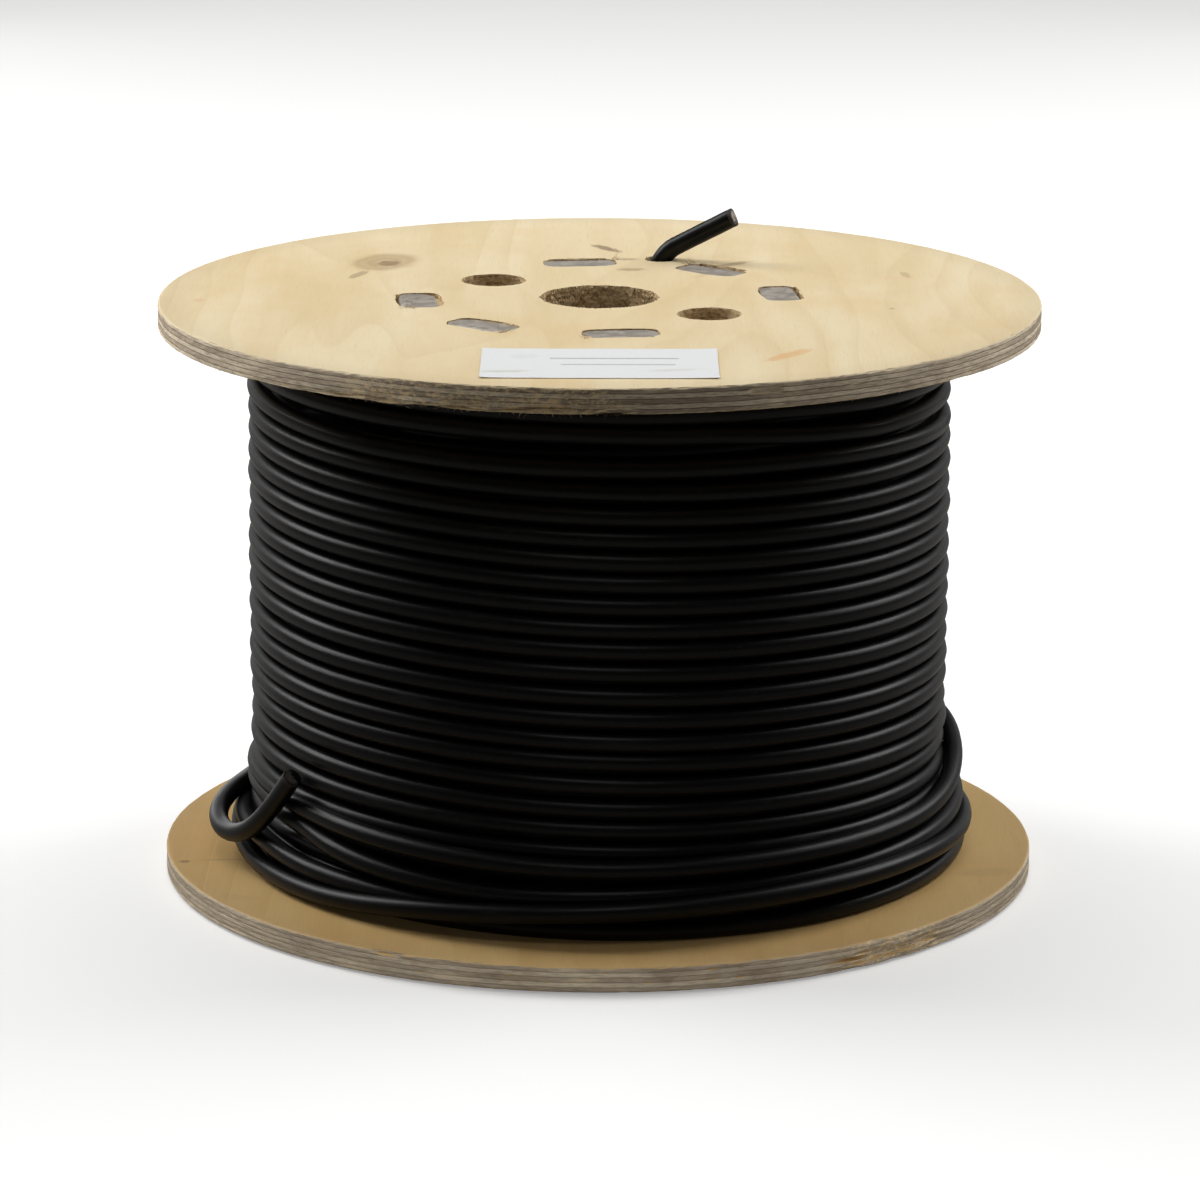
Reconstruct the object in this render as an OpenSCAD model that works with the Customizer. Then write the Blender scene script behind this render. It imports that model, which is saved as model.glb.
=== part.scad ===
// Plywood cable drum, standing on its end: two round plywood flanges clinched to a
// rolled sheet-steel barrel, and one black cable wound on it from flange to flange.
// Millimetres. The origin is the centre of the lower flange's outer face, and +Z runs
// along the drum's axis.

/* [Drum] */
// Diameter of both flanges
flange_d = 250; // [230:1:320]
// Thickness of the plywood
flange_t = 7; // [5:0.5:12]
// Height over both flanges
drum_h = 166; // [120:1:240]
// Bevel that the saw and sanding leave on the flange edges
edge_bevel = 0.5; // [0.2:0.1:1.5]

/* [Holes in the flanges] */
// Centre hole, for a spindle
bore_d = 33; // [20:0.5:40]
// Holes for the driving pins of a winder
drive_hole_d = 18; // [10:0.5:20]
// Diameter of the circle that the driving holes lie on
drive_pcd = 78; // [62:1:82]
// Hole in the upper flange that the cable's inner end comes out of
exit_hole_d = 9; // [8.5:0.1:10]
// Distance of that hole's centre from the outside of the barrel
exit_out = 3.5; // [3:0.1:5]
// Its direction, counted from +X
exit_angle = 73; // [70:1:76]

/* [Barrel] */
// Outer diameter of the rolled steel tube
barrel_d = 114; // [106:1:116]
// Thickness of the sheet steel
sheet_t = 0.8; // [0.5:0.1:1.2]
// Width of a clinching tab
tab_w = 21; // [12:0.5:24]
// Length of the part of a tab that is bent over
tab_len = 10.5; // [6:0.5:11]
// Direction of the first tab, counted from +X
tab_angle = 6.5; // [0:0.5:12]
// How far a tab is pressed below the face of the plywood
tab_sunk = 0.3; // [0.1:0.1:0.8]
// Width of the slit that stays open outside a tab
slit = 1.2; // [0.4:0.1:2]

/* [Cable] */
// Diameter of the cable
cable_d = 5.5; // [4.5:0.1:6]
// Outer diameter of the full winding
winding_d = 200; // [180:1:202]
// Free gap between neighbouring turns of one layer
turn_gap = 0.75; // [0.3:0.05:1]
// Full turns of the part layer that lies on top, next to the lower flange
top_turns = 1; // [0:1:1]

/* [Label] */
// Width of the paper label
label_w = 63.5; // [40:0.5:80]
// Depth of the paper label
label_h = 38.1; // [25:0.1:50]
// Thickness of the paper
label_t = 0.2; // [0.1:0.05:0.3]
// Distance between its outer edge and the flange's rim
label_inset = 12.95; // [6:0.05:18]

/* [Fits] */
// Play between the winding and what holds it, and round a tab in its slot
play = 0.3; // [0.1:0.05:0.6]

/* [Hidden] */
$fn = 96;

flange_r = flange_d / 2;
barrel_r = barrel_d / 2;
winding_r = winding_d / 2;
upper_z = drum_h - flange_t;
exit_radius = barrel_r + exit_out;
label_at = flange_r - label_inset - label_h / 2;

// Eight places at even angles: the driving holes take the third and the seventh,
// and a tab takes each of the others.
places = 8;
place_step = 360 / places;
drive_places = [3, 7];
tab_places = [for (k = [0 : places - 1]) if (k != drive_places[0] && k != drive_places[1]) k];
recess = sheet_t + tab_sunk;

// The winding fills the room between the flanges with whole turns.
wind_z = flange_t + play;
wind_len = upper_z - flange_t - 2 * play;
turns = floor(wind_len / (cable_d + turn_gap));
pitch = wind_len / turns;
wind_in_r = barrel_r + play;
layers = round((winding_r - wind_in_r) / (0.86 * cable_d));
layer_step = (winding_r - wind_in_r) / layers;
turn_r = winding_r - cable_d / 2;
// A groove between turns is this much shallower than the cable's own radius
groove_fill = 0.4;
// A turn on top lies in the groove between two turns, pressed into them a little
nest = 0.1;
top_r = turn_r + sqrt(pow(cable_d, 2) - pow(pitch / 2, 2)) - nest;
// Depth of the groove between two layers on the winding's ends
end_groove = 0.6;

// Route of the cable's inner end: up through the exit hole, then over to the right.
inner_route = [
    [16.7, 58.2, 158.7], [16.7, 58.2, 161], [17.1, 58, 163.4], [18, 57.7, 165.6],
    [19.4, 57.3, 167.6], [21.1, 56.8, 169.3], [23.2, 56.2, 170.6], [25.4, 55.5, 171.9],
    [27.7, 54.8, 173.2], [30, 54.2, 174.5], [32.3, 53.5, 175.8], [34.6, 52.8, 177.1],
    [36.8, 52.1, 178.4], [39, 51.5, 179.6]
];
// Route of the outer end: it leaves the last turn, swings out over the lower flange
// and rises across the front of the winding.
outer_route = [
    [-98.2, 26.3, 19.9], [-100.7, 18.5, 20], [-103.3, 10.5, 20], [-105.8, 3, 19.8],
    [-107.8, -4.5, 19.2], [-108.9, -12, 18.3], [-108.6, -19.5, 17.3], [-106.8, -26.5, 16.7],
    [-103.8, -33, 17.3], [-100.4, -38.8, 19.3], [-97, -43.8, 22.6], [-93.8, -48.2, 26.8],
    [-90.8, -52, 31.4], [-88, -55.7, 36.2], [-85.3, -59.4, 41]
];
tube_sides = 12;

// A plywood disc with its centre hole, driving holes and tab slots. Its outer face is
// at z = 0 and its inner face at z = flange_t.
module flange() {
    difference() {
        rotate_extrude()
            polygon([
                [0, 0], [flange_r - edge_bevel, 0], [flange_r, edge_bevel],
                [flange_r, flange_t - edge_bevel], [flange_r - edge_bevel, flange_t],
                [0, flange_t]
            ]);
        translate([0, 0, -1]) cylinder(d = bore_d, h = flange_t + 2);
        for (k = drive_places)
            rotate(tab_angle + k * place_step)
                translate([drive_pcd / 2, 0, -1])
                    cylinder(d = drive_hole_d, h = flange_t + 2);
        for (k = tab_places)
            rotate(tab_angle + k * place_step) tab_seat();
    }
}

// What a tab needs cut into a flange: the slot that it comes through and the shallow
// recess that it is pressed into.
module tab_seat() {
    seat_w = tab_w + 2 * play;
    slot_in = barrel_r - sheet_t - play;
    intersection() {
        difference() {
            translate([0, 0, -1]) cylinder(r = barrel_r + slit, h = flange_t + 2);
            translate([0, 0, -2]) cylinder(r = slot_in, h = flange_t + 4);
        }
        translate([0, -seat_w / 2, -2]) cube([flange_d, seat_w, flange_t + 4]);
    }
    intersection() {
        translate([barrel_r - tab_len - play, -seat_w / 2, -1])
            cube([tab_len + play + slit, seat_w, 1 + recess]);
        translate([0, 0, -2]) cylinder(r = barrel_r + slit / 2, h = 2 + recess + 1);
    }
}

// Swings what is drawn for the lower end round to the upper end, with every hole and
// tab kept at the same angle.
module to_upper_end() {
    translate([0, 0, drum_h]) mirror([0, 0, 1]) children();
}

module flange_bottom() {
    color([0.72, 0.61, 0.43]) flange();
}

module flange_top() {
    color([0.87, 0.79, 0.64])
        difference() {
            to_upper_end() flange();
            rotate(exit_angle)
                translate([exit_radius, 0, upper_z - 1])
                    cylinder(d = exit_hole_d, h = flange_t + 2);
        }
}

// Plan view of the tabs of one end: a strip from the axis outwards for each.
module tab_strips() {
    for (k = tab_places)
        rotate(tab_angle + k * place_step)
            translate([0, -tab_w / 2]) square([flange_d, tab_w]);
}

// The bent-over parts of the tabs at the lower end. They end inside the tube's wall.
module tab_plates() {
    translate([0, 0, tab_sunk])
        linear_extrude(sheet_t)
            intersection() {
                circle(r = barrel_r - sheet_t / 2);
                for (k = tab_places)
                    rotate(tab_angle + k * place_step)
                        translate([barrel_r - tab_len, -tab_w / 2]) square([tab_len, tab_w]);
            }
}

// What is cut away from the tube's lower end to leave the tabs standing.
module between_tabs() {
    translate([0, 0, -1])
        linear_extrude(flange_t + 1)
            difference() {
                circle(r = barrel_r + 5);
                tab_strips();
            }
}

module barrel() {
    color([0.66, 0.66, 0.65])
        union() {
            difference() {
                translate([0, 0, tab_sunk]) cylinder(r = barrel_r, h = drum_h - 2 * tab_sunk);
                cylinder(r = barrel_r - sheet_t, h = drum_h);
                between_tabs();
                to_upper_end() between_tabs();
            }
            tab_plates();
            to_upper_end() tab_plates();
        }
}

// Half section of the winding: a plain block with the outermost turns rounded, a ring
// groove between the layers on both ends, and the turns of the part layer on top.
module winding_section() {
    groove_r = turn_r + groove_fill;
    difference() {
        translate([wind_in_r, wind_z]) square([groove_r - wind_in_r, wind_len]);
        for (j = [2 : layers - 1], z = [wind_z, wind_z + wind_len])
            translate([wind_in_r + j * layer_step, z])
                rotate(45) square(end_groove * sqrt(2), center = true);
    }
    for (i = [0 : turns - 1])
        translate([turn_r, wind_z + (i + 0.5) * pitch]) circle(d = cable_d);
    for (i = [1 : 1 : top_turns])
        translate([top_r, wind_z + i * pitch]) circle(d = cable_d);
}

module winding() {
    color([0.1, 0.1, 0.1]) rotate_extrude() winding_section();
}

function unit(v) = v / norm(v);
function last(list) = len(list) - 1;

// Direction of a route at its point i
function heading(route, i) =
    unit(route[min(i + 1, last(route))] - route[max(i - 1, 0)]);

// Ring of points square to the route at its point i. The side vector is never along
// the route, so the rings don't twist.
function ring(route, i, side) =
    let (t = heading(route, i), a = unit(cross(t, side)), b = cross(t, a))
    [for (k = [0 : tube_sides - 1])
        route[i] + (cable_d / 2) * (cos(k * 360 / tube_sides) * a + sin(k * 360 / tube_sides) * b)];

module tube_along(route, side) {
    rings = [for (i = [0 : last(route)]) each ring(route, i, side)];
    n = tube_sides;
    walls = [
        for (i = [0 : last(route) - 1], k = [0 : n - 1])
            [i * n + k, i * n + (k + 1) % n, (i + 1) * n + (k + 1) % n, (i + 1) * n + k]
    ];
    start_cap = [for (k = [n - 1 : -1 : 0]) k];
    end_cap = [for (k = [0 : n - 1]) last(route) * n + k];
    polyhedron(points = rings, faces = concat(walls, [start_cap], [end_cap]));
}

module cable_inner_end() {
    color([0.12, 0.12, 0.12]) tube_along(inner_route, [0.29, 0.96, 0]);
}

module cable_outer_end() {
    color([0.12, 0.12, 0.12]) tube_along(outer_route, [0, 0, 1]);
}

module label() {
    color([0.95, 0.95, 0.94])
        translate([-label_w / 2, -label_at - label_h / 2, drum_h])
            cube([label_w, label_h, label_t]);
}

flange_bottom();
flange_top();
barrel();
winding();
cable_inner_end();
cable_outer_end();
label();
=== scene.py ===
import math

import bpy
import numpy as np
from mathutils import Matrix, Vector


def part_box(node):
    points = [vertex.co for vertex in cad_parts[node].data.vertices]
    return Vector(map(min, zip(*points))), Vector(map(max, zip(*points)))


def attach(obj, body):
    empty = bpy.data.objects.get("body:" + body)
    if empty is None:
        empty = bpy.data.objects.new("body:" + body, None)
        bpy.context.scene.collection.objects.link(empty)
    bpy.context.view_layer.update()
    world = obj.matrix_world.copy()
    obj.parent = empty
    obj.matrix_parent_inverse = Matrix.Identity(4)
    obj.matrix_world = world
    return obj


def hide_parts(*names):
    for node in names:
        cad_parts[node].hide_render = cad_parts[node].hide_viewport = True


bl_info = {
    "name": "Plywood cable drum",
    "version": (1, 0, 0),
    "blender": (4, 5, 0),
    "location": "3D View > Sidebar > Cable drum",
    "description": "Builds a plywood drum full of black cable, piece by piece",
    "category": "Add Mesh",
}

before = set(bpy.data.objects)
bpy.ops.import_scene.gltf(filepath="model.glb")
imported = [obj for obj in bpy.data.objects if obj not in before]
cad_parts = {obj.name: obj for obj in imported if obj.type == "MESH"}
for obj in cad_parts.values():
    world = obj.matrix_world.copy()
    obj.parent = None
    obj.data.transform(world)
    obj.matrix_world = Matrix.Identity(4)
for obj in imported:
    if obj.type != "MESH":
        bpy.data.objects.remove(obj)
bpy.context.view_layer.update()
LOWER, UPPER = np.array(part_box("flange_bottom")), np.array(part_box("flange_top"))
BARREL, LABEL = np.array(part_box("barrel")), np.array(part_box("label"))
MM = 0.001

# The eight places of holes and tabs, at even angles: driving holes take two of them.
PLACES = 8
DRIVE_PLACES = (3, 7)
TAB_PLACES = tuple(k for k in range(PLACES) if k not in DRIVE_PLACES)
PLIES = 5

# In mm: the play between the winding and what holds it, and the bevel on the boards' rims.
PLAY, BEVEL = 0.3, 0.5

# Routes of the two free ends, in metres, as in the part's source.
INNER_ROUTE = [
    (0.0167, 0.0582, 0.1587), (0.0167, 0.0582, 0.161), (0.0171, 0.058, 0.1634), (0.018, 0.0577, 0.1656),
    (0.0194, 0.0573, 0.1676), (0.0211, 0.0568, 0.1693), (0.0232, 0.0562, 0.1706),
    (0.0254, 0.0555, 0.1719), (0.0277, 0.0548, 0.1732), (0.03, 0.0542, 0.1745),
    (0.0323, 0.0535, 0.1758), (0.0346, 0.0528, 0.1771), (0.0368, 0.0521, 0.1784),
    (0.039, 0.0515, 0.1796),
]
OUTER_ROUTE = [
    (-0.0982, 0.0263, 0.0199), (-0.1007, 0.0185, 0.02), (-0.1033, 0.0105, 0.02),
    (-0.1058, 0.003, 0.0198), (-0.1078, -0.0045, 0.0192), (-0.1089, -0.012, 0.0183),
    (-0.1086, -0.0195, 0.0173), (-0.1068, -0.0265, 0.0167), (-0.1038, -0.033, 0.0173),
    (-0.1004, -0.0388, 0.0193), (-0.097, -0.0438, 0.0226), (-0.0938, -0.0482, 0.0268),
    (-0.0908, -0.052, 0.0314), (-0.088, -0.0557, 0.0362), (-0.0853, -0.0594, 0.041),
]
INNER_LENGTH, OUTER_LENGTH = 0.0334, 0.1027

# Corrections of the outer layer's height, in mm, where its turns don't lie evenly:
# (degrees run since the first turn, change).
UNEVEN = [
    (-160, 0), (20, 1.4), (200, 2.3), (300, 2.4), (320, 0.9), (340, 0.6), (450, 1.0), (560, 1.6),
    (590, 2.1), (625, 3.4), (650, 3.1), (665, 1.5), (680, 0.3), (705, 0.7), (800, 0.2), (920, 0),
    (950, -0.7), (990, 0.6), (1020, 1.1), (1040, 0.7), (1065, -0.4), (1280, 0), (7400, 0), (7760, 0.8),
    (8120, 1.7), (8160, 1.6), (8265, 0.2),
]
# The strand after it has reached the lower flange: (degrees, height, radius), in mm.
LAST_TURNS = [
    (8265, 10.05, 97.25), (8400, 10.05, 97.25), (8505, 10.05, 97.4), (8530, 10.0, 98.8),
    (8560, 9.8, 101.6), (8585, 9.75, 103.0), (8610, 9.75, 103.2), (8730, 10.0, 103.2),
    (8770, 11.0, 102.8), (8805, 14.0, 102.0), (8825, 16.5, 102.2), (8843, 17.7, 102.6),
    (8855, 16.4, 102.6), (8875, 15.2, 102.4), (8940, 15.0, 100.8), (8985, 16.0, 100.5),
    (9020, 19.5, 100.8), (9090, 22.0, 102.2), (9145, 25.0, 99.4), (9175, 26.7, 98.5),
    (9200, 27.8, 98.5), (9214, 26.4, 99.4), (9225, 23.9, 101.7), (9235, 22.0, 102.6),
    (9245, 20.6, 102.6), (9255, 19.9, 102.6), (9270, 20.1, 102.6), (9285, 20.5, 102.6),
    (9345, 22.0, 102.6), (9380, 24.0, 102.6), (9450, 26.5, 102.2), (9505, 29.3, 99.4),
    (9540, 31.3, 98.5), (9566, 31.9, 98.6), (9577, 31.7, 99.5), (9590, 31.1, 101.4),
    (9602, 30.2, 102.6), (9615, 28.8, 102.6), (9630, 27.8, 102.6), (9650, 27.6, 102.6),
    (9680, 27.8, 102.6), (9695, 28.6, 102.6), (9705, 30.5, 102.6), (9715, 34.0, 102.3),
    (9730, 38.0, 101.9), (9745, 38.3, 101.9), (9760, 36.5, 102.5), (9780, 34.0, 104.0),
    (9810, 29.5, 106.8), (9830, 26.0, 106.9), (9850, 22.0, 105.6), (9870, 18.2, 104.2),
    (9885, 15.4, 103.4), (9900, 13.0, 103.2), (9920, 10.8, 103.6), (9945, 11.2, 105.0),
    (9965, 14.2, 106.0), (9985, 16.3, 106.4), (10010, 17.7, 106.5), (10045, 18.0, 106.2),
    (10065, 16.7, 105.6), (10100, 15.5, 104.0), (10170, 16.0, 101.9), (10210, 18.0, 101.7),
    (10245, 19.9, 101.66),
]


# ---------------------------------------------------------------- sizes and colours


def length(name, description, default):
    return bpy.props.FloatProperty(
        name=name, description=description, default=default, min=0.0, unit="LENGTH", precision=4
    )


def angle(name, description, degrees):
    return bpy.props.FloatProperty(
        name=name, description=description, default=math.radians(degrees), subtype="ANGLE"
    )


def colour(name, description, default):
    return bpy.props.FloatVectorProperty(
        name=name, description=description, default=default, size=3, min=0.0, max=1.0, subtype="COLOR"
    )


def span(box, axis, digits=4):
    """Extent along an axis of a box from the frame, in metres."""
    return round(float(box[1, axis] - box[0, axis]), digits)


class DrumSizes(bpy.types.PropertyGroup):
    """Sizes of the drum and its cable"""

    flange_d: length("Flange diameter", "Diameter of both plywood flanges", span(UPPER, 0))
    flange_t: length("Flange thickness", "Thickness of the plywood", span(LOWER, 2))
    drum_h: length("Drum height", "Height over both flanges", round(float(UPPER[1, 2]), 4))
    bore_d: length("Centre hole", "Diameter of the spindle's hole", 0.033)
    drive_d: length("Driving hole", "Diameter of a driving hole", 0.018)
    drive_pcd: length("Driving circle", "Diameter of the circle that the driving holes lie on", 0.078)
    exit_d: length("Exit hole", "Diameter of the hole that the cable's inner end comes out of", 0.009)
    exit_r: length("Exit radius", "Distance of the exit hole from the axis", 0.0605)
    exit_angle: angle("Exit angle", "Direction of the exit hole, counted from +X", 73)
    barrel_d: length("Barrel diameter", "Outer diameter of the steel tube", span(BARREL, 0, 3))
    sheet_t: length("Sheet", "Thickness of the sheet steel", 0.0008)
    tab_w: length("Tab width", "Width of a bent tab", 0.021)
    tab_len: length("Tab length", "Length of the bent part of a tab", 0.0105)
    tab_angle: angle("Tab angle", "Direction of the first tab, counted from +X", 6.5)
    cable_d: length("Cable diameter", "Diameter of the cable", 0.0055)
    winding_d: length("Winding diameter", "Outer diameter of the full winding", 0.2)
    layer_step: length("Layer step", "Distance from one layer of cable to the next", 0.00474)
    label_w: length("Label width", "Width of the paper label", span(LABEL, 0))
    label_h: length("Label depth", "Depth of the paper label", span(LABEL, 1))
    paper_t: length("Paper thickness", "Thickness of the label", 0.00012)


class DrumColours(bpy.types.PropertyGroup):
    """Colours of the drum, its cable and the floor"""

    face: colour("Upper face", "Clean sanded veneer", (0.80, 0.688, 0.468))
    face_inner: colour("Inner faces", "Veneer between the flanges", (0.67, 0.465, 0.205))
    edge_light: colour("Light ply", "Plies cut along the grain", (0.74, 0.635, 0.475))
    edge_dark: colour("Dark ply", "Plies cut across the grain", (0.30, 0.23, 0.165))
    # The torn colour is partly fresh torn wood and partly painted light: it is lighter than the veneer so
    # that the walls of the holes look lit.
    torn: colour("Torn wood", "Rough walls of the holes", (0.95, 0.74, 0.45))
    jacket: colour("Cable jacket", "Black cable jacket", (0.0034, 0.0034, 0.0036))
    steel: colour("Sheet steel", "Zinc-coated sheet", (0.50, 0.455, 0.40))
    paper: colour("Paper", "White label paper", (0.86, 0.865, 0.87))
    floor: colour("Floor", "Plain pale floor", (0.86, 0.86, 0.85))


def kept_values(group):
    """What the user has set in a property group, by name."""
    return {k: getattr(group, k) for k in group.bl_rna.properties.keys() if k not in ("rna_type", "name")}


def sizes():
    """The sizes in millimetres and the angles in degrees, by name."""
    found = kept_values(bpy.context.scene.drum_sizes)
    return {k: math.degrees(v) if k.endswith("angle") else v / MM for k, v in found.items()}


def colours():
    """The colours by name, each with a fourth value of one."""
    return {k: (*v, 1.0) for k, v in kept_values(bpy.context.scene.drum_colours).items()}


# ---------------------------------------------------------------- surfaces


def blurred_noise(seed, shape, reach):
    """White noise on a wrapping grid, scaled to a spread of one. It is blurred by a
    Gaussian of reach[k] steps along axis k."""
    spectrum = np.fft.fftn(np.random.default_rng(seed).standard_normal(shape))
    for axis, steps in enumerate(reach):
        falloff = np.exp(-2 * (np.pi * np.fft.fftfreq(shape[axis]) * steps) ** 2)
        spectrum = spectrum * falloff.reshape([-1 if k == axis else 1 for k in range(len(shape))])
    noise = np.fft.ifftn(spectrum).real
    return noise / noise.std()


def through(knots, values, at):
    """Cubic Hermite curve through the values at the knots, with each slope taken from the
    neighbours: h00 v0 + h10 h m0 + h01 v1 + h11 h m1."""
    knots, values = np.asarray(knots, float), np.asarray(values, float)
    slopes = np.gradient(values, knots, axis=0)
    i = np.clip(np.searchsorted(knots, at, "right") - 1, 0, len(knots) - 2)
    step = knots[i + 1] - knots[i]
    u = (at - knots[i]) / step
    if values.ndim == 2:
        u, step = u[:, None], step[:, None]
    return (
        (1 + 2 * u) * (1 - u) ** 2 * values[i] + u * (1 - u) ** 2 * step * slopes[i]
        + u**2 * (3 - 2 * u) * values[i + 1] - u**2 * (1 - u) * step * slopes[i + 1]
    )


def bump(x, centre, half, soft):
    """1 within half of the centre, falling smoothly to 0 over soft."""
    t = np.clip((half + soft - np.abs(x - centre)) / soft, 0, 1)
    return t * t * (3 - 2 * t)


def rounded(wave, power):
    """A sine or cosine with its size raised to a power, which squares a circle's corners."""
    return np.sign(wave) * np.abs(wave) ** power


def full_circle(steps):
    return np.arange(steps) * 2 * np.pi / steps


def turned(out, aside, turn):
    """x and y of what lies out from the axis and aside of it, in the direction turn."""
    return out * np.cos(turn) - aside * np.sin(turn), out * np.sin(turn) + aside * np.cos(turn)


def unit(v):
    return v / np.linalg.norm(v, axis=-1, keepdims=True)


def distance_run(path):
    """Distance along a path to each of its points."""
    return np.concatenate([[0], np.cumsum(np.linalg.norm(np.diff(path, axis=0), axis=1))])


def square_to(along, side):
    """Two axes square to a direction: along x side, and along x the first."""
    across = unit(np.cross(along, side))
    return across, np.cross(along, across)


def outward(points, faces):
    """The same shell with its faces turned so that its signed volume, the sum of
    p0.(pj x pk) / 6, is positive."""
    volume = 0.0
    for f in faces:
        for j in range(1, f.shape[1] - 1):
            volume += np.einsum("ij,ij->", points[f[:, 0]], np.cross(points[f[:, j]], points[f[:, j + 1]]))
    return [f if volume > 0 else f[:, ::-1] for f in faces]


def grid_quads(index, wrap_u=False):
    """Quads between the neighbours in a grid of point numbers, whose columns close."""
    if wrap_u:
        index = np.vstack([index, index[:1]])
    index = np.hstack([index, index[:, :1]])
    return np.stack([index[:-1, :-1], index[1:, :-1], index[1:, 1:], index[:-1, 1:]], -1).reshape(-1, 4)


def shell(points, wrap_u=False, caps=False, follow=None):
    """A closed shell from a grid of points, with rows along u and columns round v. Its rows
    close as well, or a cap is one face on the first row and one on the last."""
    rows, columns = points.shape[:2]
    index = np.arange(rows * columns).reshape(rows, columns)
    faces = [grid_quads(index, wrap_u)]
    if caps:
        faces += [index[:1], index[-1:, ::-1]]
    flat = points.reshape(-1, 3)
    kept = None if follow is None else follow.reshape(-1, 3)
    return {"points": flat, "faces": outward(flat, faces), "follow": kept}


def tube(path, radius, sides, side):
    """A circle carried along a path: p + r (cos a * across + sin a * upright), where across
    is tangent x side. Its follow attribute is the distance run and the circle's own two
    coordinates."""
    across, upright = square_to(unit(np.gradient(path, axis=0)), side)
    a = full_circle(sides)
    wheel = np.cos(a)[None, :, None] * across[:, None] + np.sin(a)[None, :, None] * upright[:, None]
    reach = np.broadcast_to(np.asarray(radius, float).reshape(-1, 1), (len(path), sides))
    run = np.broadcast_to(distance_run(path)[:, None], reach.shape)
    follow = np.stack([run, reach * np.cos(a), reach * np.sin(a)], -1)
    return shell(path[:, None] + reach[..., None] * wheel, caps=True, follow=follow)


def ring_body(r, z, turn):
    """A section carried round the axis: x = r cos a, y = r sin a. r has one row per angle."""
    a = turn[:, None]
    return shell(np.stack([r * np.cos(a), r * np.sin(a), np.broadcast_to(z, r.shape)], -1), wrap_u=True)


def mesh_object(name, shells, materials, smooth=35.0, scale=MM):
    """One object from a list of shells, with its vertices in place and its own origin at
    the world's."""
    starts = np.concatenate([[0], np.cumsum([len(s["points"]) for s in shells])[:-1]])
    points = np.concatenate([s["points"] for s in shells]) * scale
    faces = [f + n for s, n in zip(shells, starts) for f in s["faces"]]
    counts = np.concatenate([np.full(len(f), f.shape[1]) for f in faces])
    corners = np.concatenate([f.ravel() for f in faces])
    mesh = bpy.data.meshes.new(name)
    mesh.vertices.add(len(points))
    mesh.vertices.foreach_set("co", points.astype(np.float32).ravel())
    mesh.loops.add(len(corners))
    mesh.loops.foreach_set("vertex_index", corners.astype(np.int32))
    mesh.polygons.add(len(counts))
    mesh.polygons.foreach_set("loop_start", np.concatenate([[0], np.cumsum(counts)[:-1]]).astype(np.int32))
    mesh.update(calc_edges=True)
    if all(s["follow"] is not None for s in shells):
        follow = np.concatenate([s["follow"] for s in shells]) * scale
        kept = mesh.attributes.new("follow", "FLOAT_VECTOR", "POINT")
        kept.data.foreach_set("vector", follow.astype(np.float32).ravel())
    shade(mesh, smooth)
    made = bpy.data.objects.new(name, mesh)
    bpy.context.scene.collection.objects.link(made)
    for m in materials:
        mesh.materials.append(m)
    return made


def shade(mesh, smooth):
    """Smooth shading, apart from edges sharper than an angle in degrees."""
    mesh.polygons.foreach_set("use_smooth", np.ones(len(mesh.polygons), bool))
    mesh.set_sharp_from_angle(angle=math.radians(smooth))
    mesh.update()


def carve(board, cutters, material, smooth):
    """Cuts the cutters' shapes out of the board and keeps the result as its mesh, all in
    one material."""
    for cutter in cutters:
        cut = board.modifiers.new("cut", "BOOLEAN")
        cut.operation, cut.solver, cut.object = "DIFFERENCE", "MANIFOLD", cutter
    made = bpy.data.meshes.new_from_object(board.evaluated_get(bpy.context.evaluated_depsgraph_get()))
    board.modifiers.clear()
    uncut = board.data
    board.data = made
    made.name = board.name
    bpy.data.meshes.remove(uncut)
    for cutter in cutters:
        bpy.data.objects.remove(cutter, do_unlink=True)
    made.materials.clear()
    made.materials.append(material)
    made.polygons.foreach_set("material_index", np.zeros(len(made.polygons), np.int32))
    shade(made, smooth)


# ---------------------------------------------------------------- nodes


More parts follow.
